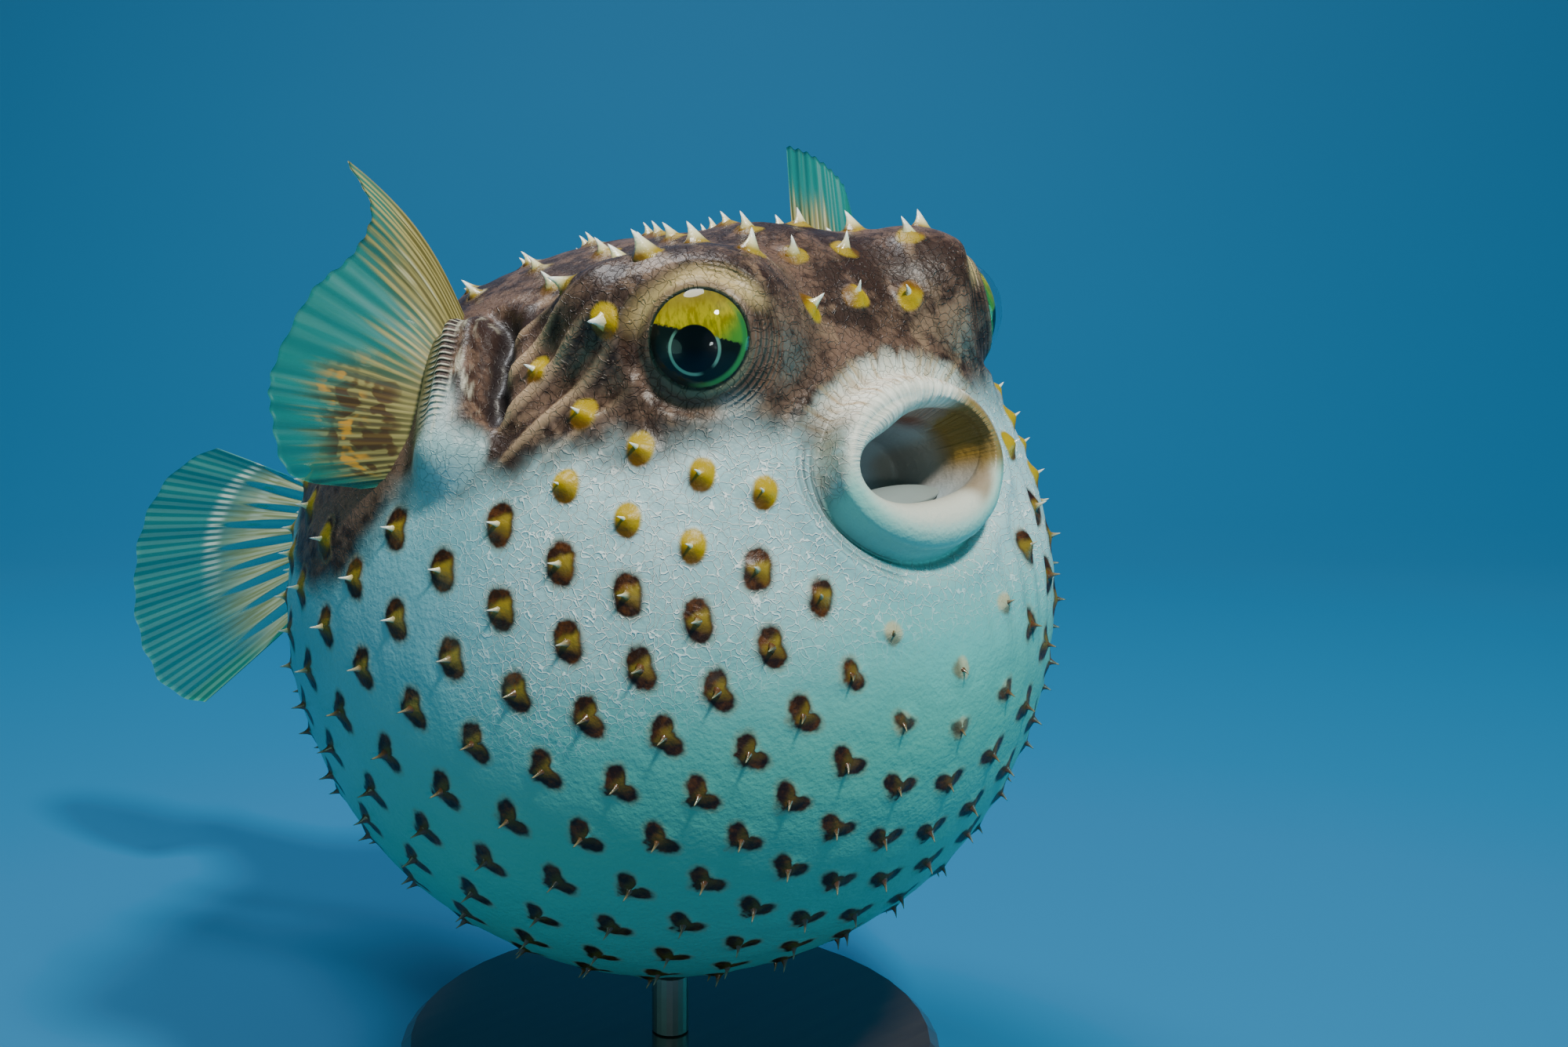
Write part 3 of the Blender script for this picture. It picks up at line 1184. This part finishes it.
def muzzle_look(f, mottle, stripes, near_side):
    """Grooves beside the mouth, and the coats for them, the muzzle, its pouch and the lips' crease."""
    turn, beside = f.read("mouth")[2], f.read("eye")[1]
    grooves = f.math("SINE", beside * (math.tau / 0.021)) * f.band(beside, 0.004, 0.016, 0.050, 0.085)
    grooves = grooves * near_side * f.rise(turn, 1.1, 1.5)
    crease = f.rise(f.magnitude(beside - 0.010), 0.024, 0.004) * f.rise(turn, 1.4, 2.1)
    muzzle = f.rise(beside + (stripes - 0.5) * 0.08 + (mottle - 0.5) * 0.10, 0.085, 0.035)
    pouch = f.band(turn, 0.8, 1.2, 1.9, 2.3) * f.rise(beside, 0.030, 0.0) * near_side
    return grooves, (
        (muzzle * f.rise(turn, 1.25, 0.55) * 0.9, f.mix(f.rise(stripes, 0.32, 0.58), MUZZLE_TAN, LIP_WHITE)),
        (pouch * 0.7, f.mix(f.rise(mottle, 0.4, 0.6), POUCH_BROWN, BELLY_SHADE)),
        (crease * 0.85, CREASE_DARK), (f.rise(grooves, -0.2, -0.9) * 0.3, CREASE_DARK),
    )


def lip_colour(f, mottle, stripes, far_side):
    """Cream and white stripes above, blue-green below, brown in the far corner."""
    turn, beside = f.read("mouth")[2], f.read("eye")[1]
    corner = f.band(turn, 0.45, 0.85, 1.70, 2.10) * f.rise(beside, -0.006, -0.020) * far_side
    return f.paint(
        f.mix(f.rise(stripes, 0.40, 0.65) * f.rise(turn, 1.9, 1.1), LIP_CREAM, LIP_WHITE),
        (f.rise(turn, 1.2, 1.9) * f.rise(beside, -0.085, -0.01) * 0.9, LIP_LOW),
        (f.rise(beside, -0.045, -0.070) * f.band(turn, 1.2, 1.6, 2.3, 2.9) * far_side * 0.85, MOUTH_PINK),
        (corner * f.rise(stripes + mottle * 0.5, 0.36, 0.56) * 0.95, CORNER_BROWN),
    )


def throat_colour(f, mottle, far_side):
    """Grey, with a red arch above, and pink and brown on the far side."""
    turn, out = f.read("mouth")[2], f.read("eye")[2]
    stain = f.band(turn, 0.5, 0.9, 1.6, 2.0) * f.rise(out, -0.14, -0.05) * far_side
    return f.paint(
        f.mix(f.rise(out, -0.26, -0.03), MOUTH_DEEP, MOUTH_GREY),
        (f.band(turn, 0.9, 1.3, 1.9, 2.4) * far_side * 0.6, MOUTH_PINK),
        (f.rise(turn, 1.1, 0.5) * f.rise(out, -0.16, -0.07), MOUTH_RED),
        (stain * f.rise(mottle, 0.34, 0.50), CORNER_BROWN),
    )


def skin_finish():
    f = Finish("burrfish_skin", 0.40, Coat_Weight=0.06, Coat_Roughness=0.25, Specular_IOR_Level=0.26)
    fish, side = f.stored("fish"), f.read("fish")[0]
    zone, _low_side, netted = f.read("zone")
    lip, inside, turn = f.read("mouth")
    to_eye, beside, out = f.read("eye")
    near_side, far_side = f.rise(side, -0.08, -0.16), f.rise(side, 0.08, 0.15)
    mottle = f.noise(f.warp(fish, 3, 0.25), 5.0, 5, 0.62)
    fine_mottle = f.noise(fish, 30, 4, 0.65)
    net = f.rise(f.cracks(f.warp(fish, 20, 0.050), 46), 0.070, 0.012)
    stripes = f.noise(f.combine(turn * 17, out * 4, beside * 4), 1.0, 3)

    brown = f.rise(zone + (f.noise(f.warp(fish, 6, 0.1), 6, 3) - 0.5) * 2.2, -1.15, 0.75)
    brow = f.rise(to_eye + (mottle - 0.5) * 0.06, 0.185, 0.140) * f.rise(zone, 2.0, 2.6)
    back = back_colour(f, fish, mottle, fine_mottle, net)
    on_foot, foot, scallops = foot_look(f, back)
    masks = spot_masks(f, fish)
    creases, eye_coats = eye_look(f, mottle)
    grooves, muzzle_coats = muzzle_look(f, mottle, stripes, near_side)
    f.put("Base Color", f.paint(
        belly_colour(f, fish, net), (brown, back), (brow * 0.8, BROW_CREAM), (on_foot * 0.95, foot),
        *spot_coats(f, masks, fine_mottle), (f.rise(f.read("relief")[1], 0.15, 0.75), SLIT_DARK),
        *eye_coats, *muzzle_coats, (lip, lip_colour(f, mottle, stripes, far_side)),
        (inside, throat_colour(f, mottle, far_side)),
    ))

    spot, _fringe, _wedge, boss, _bud = masks
    bare = (1 - lip) * (1 - inside) * (1 - spot) * (1 - boss)
    wrinkles = net * f.most(netted * 0.40, brown * 0.12) * bare
    teeth = f.rise(stripes, 0.3, 0.7) * lip * f.rise(turn, 1.9, 1.1) * f.rise(beside, -0.020, -0.045)
    grain = f.noise(fish, 75, 3)
    f.relief(wrinkles + teeth * 0.5 + grain * 0.4 + grooves * 0.8 + creases * 0.5 + scallops, 0.0006)
    return f


def thorn_finish():
    """Brown or golden at the foot, then cream and white; on the belly olive and tan."""
    f = Finish("burrfish_thorn", 0.28, Coat_Weight=0.3)
    rise, golden, high = f.read("thorn")
    across, back, _away = f.read("spot")
    foot = f.mix(gold_share(f, across, back) * high, SPOT_EDGE, WEDGE_GOLD)
    f.put("Base Color", f.paint(
        f.mix(f.rise(golden, 0.2, 0.8), foot, GOLD),
        (f.rise(rise, 0.10, 0.50), f.mix(high, THORN_OLIVE, THORN_CREAM)),
        (f.rise(rise, 0.40, 0.90), f.mix(high, THORN_TAN, THORN_WHITE)),
    ))
    f.relief(f.noise(f.stored("fish"), 80, 2), 0.0002)
    return f


def eye_finish():
    """Iris: yellow above a slanting edge, dark green below, a low pupil in a pale-green ring."""
    f = Finish("burrfish_eye", 0.30, Specular_IOR_Level=0.15)
    front, up, _out = f.read("gaze")
    gaze = f.stored("gaze")
    speckle = f.noise(f.stretched(gaze, (2.2, 0.7, 1)), 4, 5, 0.65)
    away = f.sqrt(front * front + up * up)
    yellow = f.paint(
        f.mix(f.rise(speckle, 0.36, 0.60), IRIS_AMBER, IRIS_YELLOW),
        (f.rise(up + (speckle - 0.5) * 0.3, 0.40, 0.85) * 0.75, IRIS_BROWN),
        (f.rise(front - up * 0.9, 0.30, 0.90), IRIS_GREEN),
    )
    edge = up - 0.10 + front * 0.42 + (f.noise(gaze, 16, 3) - 0.5) * 0.16
    rim = f.band(away, 0.87, 0.94, 0.97, 1.02) * f.rise(front * 0.9 - up * 0.6, 0.1, 0.8)
    to_front, above = front + 0.09, up + 0.21
    pupil = f.sqrt(to_front * to_front + above * above)
    ring = f.rise(pupil, 0.56, 0.53) * f.rise(f.magnitude(to_front + above * 0.4), 0.08, 0.30)
    f.put("Base Color", f.paint(
        f.mix(f.rise(edge, -0.02, 0.03), IRIS_DARK, yellow),
        (rim, IRIS_RIM), (ring * f.rise(edge, 0.04, -0.02), PUPIL_RING), (f.rise(pupil, 0.495, 0.475), PUPIL),
    ))
    return f


def cornea_finish():
    """Clear, with an even tint: a cornea stores no gaze, so the noise is one value all over it."""
    glass = dict(Transmission_Weight=1.0, IOR=1.02, Coat_Weight=0.4, Coat_Roughness=0.04)
    f = Finish("burrfish_cornea", 0.02, **glass)
    f.put("Base Color", f.mix(f.noise(f.stored("gaze"), 3), CORNEA_TINT, CORNEA_CLEAR))
    return f


def fin_noise(f, across, along, detail):
    """Noise over a fin, so many times finer across the rays and along them."""
    return f.noise(f.stretched(f.stored("fin"), (across, along, 0)), 1.0, detail)


def pectoral_finish(name, blade):
    """Olive rays in a clear outer web, blotched low down; blade is how much further the top rays reach."""
    f = Finish(name, 0.45, Specular_IOR_Level=0.2)
    t, s, _phase = f.read("fin")
    streak, broad, clump = fin_noise(f, 95, 2.2, 3), fin_noise(f, 30, 1.2, 2), fin_noise(f, 11, 0.8, 2)
    fine = f.math("COSINE", t * (2 * math.tau * PECTORAL_LOOK["rays"])) * 0.5 + 0.5
    lines = f.rise(fine * 0.45 + streak * 1.1 + broad * 0.8, 0.92, 1.45)
    top, low = f.rise(t, 0.34, 0.22), f.rise(t, 0.42, 0.58)
    reach = 0.52 + top * blade + low * 0.20 + (broad - 0.5) * 0.5
    solid = f.rise(s - reach + (streak - 0.5) * 0.4, 0.18, -0.14)
    gaps = (1 - lines) * f.rise(s, 0.15, 0.45) * (1 - top * f.rise(s, 0.9, 0.6)) * (1 - low * 0.9)
    solid = solid * (1 - gaps * 0.8)
    blotch = fin_noise(f, 15, 9, 1) + (streak - 0.5) * 0.25
    spotted = low * f.band(s, 0.26, 0.38, 0.68, 0.84) * f.rise(t, 0.95, 0.86)
    rays = f.paint(
        f.mix(lines, PECTORAL_OLIVE, PECTORAL_CREAM),
        (f.rise(broad, 0.56, 0.70) * top * f.rise(s, 0.95, 0.75) * 0.6, PECTORAL_SHEEN),
        (spotted * (1 - lines * 0.7) * 0.6, BLOTCH_BROWN),
        (f.rise(blotch, 0.50, 0.57) * spotted * (1 - lines * 0.2), BLOTCH_BROWN),
        (f.rise(blotch, 0.42, 0.34) * spotted * f.rise(s, 0.46, 0.60) * 0.8, BLOTCH_ORANGE),
        (f.rise(s, 0.42, 0.08) * f.rise(t, 0.12, 0.4) * 0.8, LOBE_OLIVE),
    )
    web = f.mix(lines * f.rise(clump, 0.4, 0.7) * 0.3, MEMBRANE, MEMBRANE_PALE)
    f.put("Base Color", f.mix(solid, web, rays))
    f.put("Alpha", 0.58 + solid * 0.40)
    return f


def caudal_finish():
    """Bundled rays that spread into a finely striped web, with clear gaps at the root and pale dashes."""
    f = Finish("burrfish_caudal", 0.45, Specular_IOR_Level=0.25)
    t, s, phase = f.read("fin")
    streak, clump = fin_noise(f, 70, 3, 3), fin_noise(f, 7, 0.3, 1)
    fine = f.math("COSINE", t * (4 * math.tau * CAUDAL_LOOK["rays"])) * 0.5 + 0.5
    bundle = f.rise(phase + (clump - 0.5) * 2.4 + f.rise(s, 0.15, 0.90) * 2.2, 0.10, 0.50)
    fade = f.rise(s + (streak - 0.5) * 0.3, 0.34, 0.70)
    stripes = f.rise(fine + (streak - 0.5) * 0.6, 0.25, 0.75)
    first = f.rise(f.magnitude(s - 0.62 + (streak - 0.5) * 0.05), 0.060, 0.015) * f.rise(t, 0.75, 0.35)
    second = f.rise(f.magnitude(s - 0.42 + (clump - 0.5) * 0.1), 0.05, 0.01) * f.rise(t, 0.5, 0.2)
    dashes = (first + second * 0.6) * stripes
    rays = f.paint(
        f.mix(f.rise(streak, 0.38, 0.62), CAUDAL_OLIVE, CAUDAL_CREAM),
        (fade, f.mix(stripes * 0.6, MEMBRANE, MEMBRANE_PALE)), (dashes, DASH_PALE),
    )
    solid = f.most(bundle * (1 - fade * 0.65), f.most(dashes * 0.8, f.rise(t, 0.90, 0.97) * 0.9))
    f.put("Base Color", f.mix(bundle, MEMBRANE, rays))
    f.put("Alpha", 0.30 + solid * 0.66)
    return f


def plain_finish(name, light, dark, roughness, scale, stretch=(1, 1, 1), **constants):
    """A simple grained finish, for the tongue, the stand and the floor."""
    f = Finish(name, roughness, **constants)
    grain = f.noise(f.stretched(f.node("TexCoord", "Object", {}), stretch), scale, 4)
    f.put("Base Color", f.mix(grain, dark, light))
    return f


# ---------------- floor, light and camera

def area_light(name, place, aim, size, power, colour):
    light = bpy.data.lights.new(name, "AREA")
    light.shape = "DISK"
    light.size, light.energy, light.color = size, power, colour
    lamp = add_object(name, light)
    lamp.location = place
    lamp.rotation_euler = (Vector(aim) - Vector(place)).to_track_quat("-Z", "Y").to_euler()


def make_light():
    world = bpy.data.worlds.new("room")
    world.use_nodes = True
    background = world.node_tree.nodes["Background"]
    background.inputs["Color"].default_value = WORLD_COLOUR
    background.inputs["Strength"].default_value = WORLD_STRENGTH
    bpy.context.scene.world = world
    middle = (0, 0, BALL_HEIGHT)
    area_light("key", (-0.08, -0.60, 1.12), middle, 0.16, 18, (1.0, 0.97, 0.88))
    area_light("top", (0.05, 0.30, 0.95), middle, 0.35, 7, (0.95, 0.98, 1.0))
    area_light("side", (0.70, -0.70, 0.10), middle, 0.5, 3.6, (0.05, 0.80, 0.90))
    area_light("low", (-0.75, 0.10, 0.10), middle, 0.4, 1.0, (0.35, 0.80, 0.68))
    area_light("mouth", (-0.50, -0.80, 0.25), to_world(MOUTH), 0.10, 0.8, (0.9, 1.0, 0.98))


def make_stage():
    """A plain floor that sweeps up into a backdrop behind the fish."""
    away = np.array((math.sin(CAMERA_AZIMUTH), math.cos(CAMERA_AZIMUTH), 0))
    beside = np.array((away[1], -away[0], 0)) * FLOOR_HALF_WIDTH
    turns = np.linspace(0, math.pi / 2, FLOOR_BEND_STEPS + 1)
    out = [FLOOR_FRONT, *(FLOOR_BEND + FLOOR_BEND_RADIUS * np.sin(turns)), FLOOR_BEND + FLOOR_BEND_RADIUS]
    height = [0, *(FLOOR_BEND_RADIUS * (1 - np.cos(turns))), FLOOR_TOP]
    profile = np.outer(out, away) + np.outer(height, (0, 0, 1))
    points = np.stack((profile - beside, profile + beside), axis=1).reshape(-1, 3)
    faces = [(2 * i, 2 * i + 1, 2 * i + 3, 2 * i + 2) for i in range(len(profile) - 1)]
    floor = add_mesh("stage_floor", points, faces)
    wear(floor, plain_finish("stage_paper", FLOOR_LIGHT, FLOOR_DARK, 0.75, 1.5))


def make_camera():
    level, up = math.cos(CAMERA_HEIGHT), math.sin(CAMERA_HEIGHT)
    away = Vector((-math.sin(CAMERA_AZIMUTH) * level, -math.cos(CAMERA_AZIMUTH) * level, up))
    data = bpy.data.cameras.new("camera")
    data.lens, data.shift_x, data.shift_y = CAMERA_LENS, *CAMERA_SHIFT
    camera = add_object("camera", data)
    camera.location = Vector((0, 0, BALL_HEIGHT)) + away * CAMERA_DISTANCE
    camera.rotation_euler = away.to_track_quat("Z", "Y").to_euler()
    bpy.context.scene.camera = camera


# ---------------- the pieces and what they stand for

def add_piece(piece, finish, slot, *nodes):
    """Gives a piece its look, fixes it to the model and names the solids it stands for."""
    wear(piece, finish)
    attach(piece, "root")
    if nodes:
        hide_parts(*nodes)


def build_fish():
    spines = spine_sites()
    skin, points, down = make_skin(spines)
    index = nearest_places(spines[0], points)
    patch_middles = np.stack(((index % COLUMNS) / COLUMNS, down[index // COLUMNS]), axis=1)
    add_piece(skin, skin_finish(), "skin_belly", "head", "trunk", "tail", "lips")
    add_piece(make_spines(spines, patch_middles), thorn_finish(), "skin_back")

    eye_paint, cornea_glass = eye_finish(), cornea_finish()
    for side, name in ((1, "left"), (-1, "right")):
        eye, cornea = make_eye(side, name)
        add_piece(eye, eye_paint, "eyeball", "eye_" + name)
        add_piece(cornea, cornea_glass, "eyeball")
    tongue_paint = plain_finish("burrfish_tongue", TONGUE_PALE, TONGUE_GREY, 0.40, 90)
    add_piece(make_tongue(), tongue_paint, "tongue_flesh", "tongue")

    tail_paint = caudal_finish()
    pectoral_paints = {
        "pectoral_fin_right": pectoral_finish("burrfish_near_pectoral", 0.60),
        "pectoral_fin_left": pectoral_finish("burrfish_far_pectoral", 0.10),
    }
    for node, fin in make_fins().items():
        add_piece(fin, pectoral_paints.get(node, tail_paint), "fin_membrane", node)


def finish_stand():
    """The stand keeps its solids' own shapes."""
    lacquer = plain_finish("stand_lacquer", WOOD_LIGHT, WOOD_DARK, 0.30, 30, (1, 12, 12), Coat_Weight=0.4)
    steel = plain_finish("stand_steel", STEEL_LIGHT, STEEL_DARK, 0.28, 60, (1, 1, 8), Metallic=1.0)
    wear(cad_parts["stand_base"], lacquer)
    wear(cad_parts["stand_rod"], steel)


build_fish()
finish_stand()
make_stage()
make_light()
make_camera()
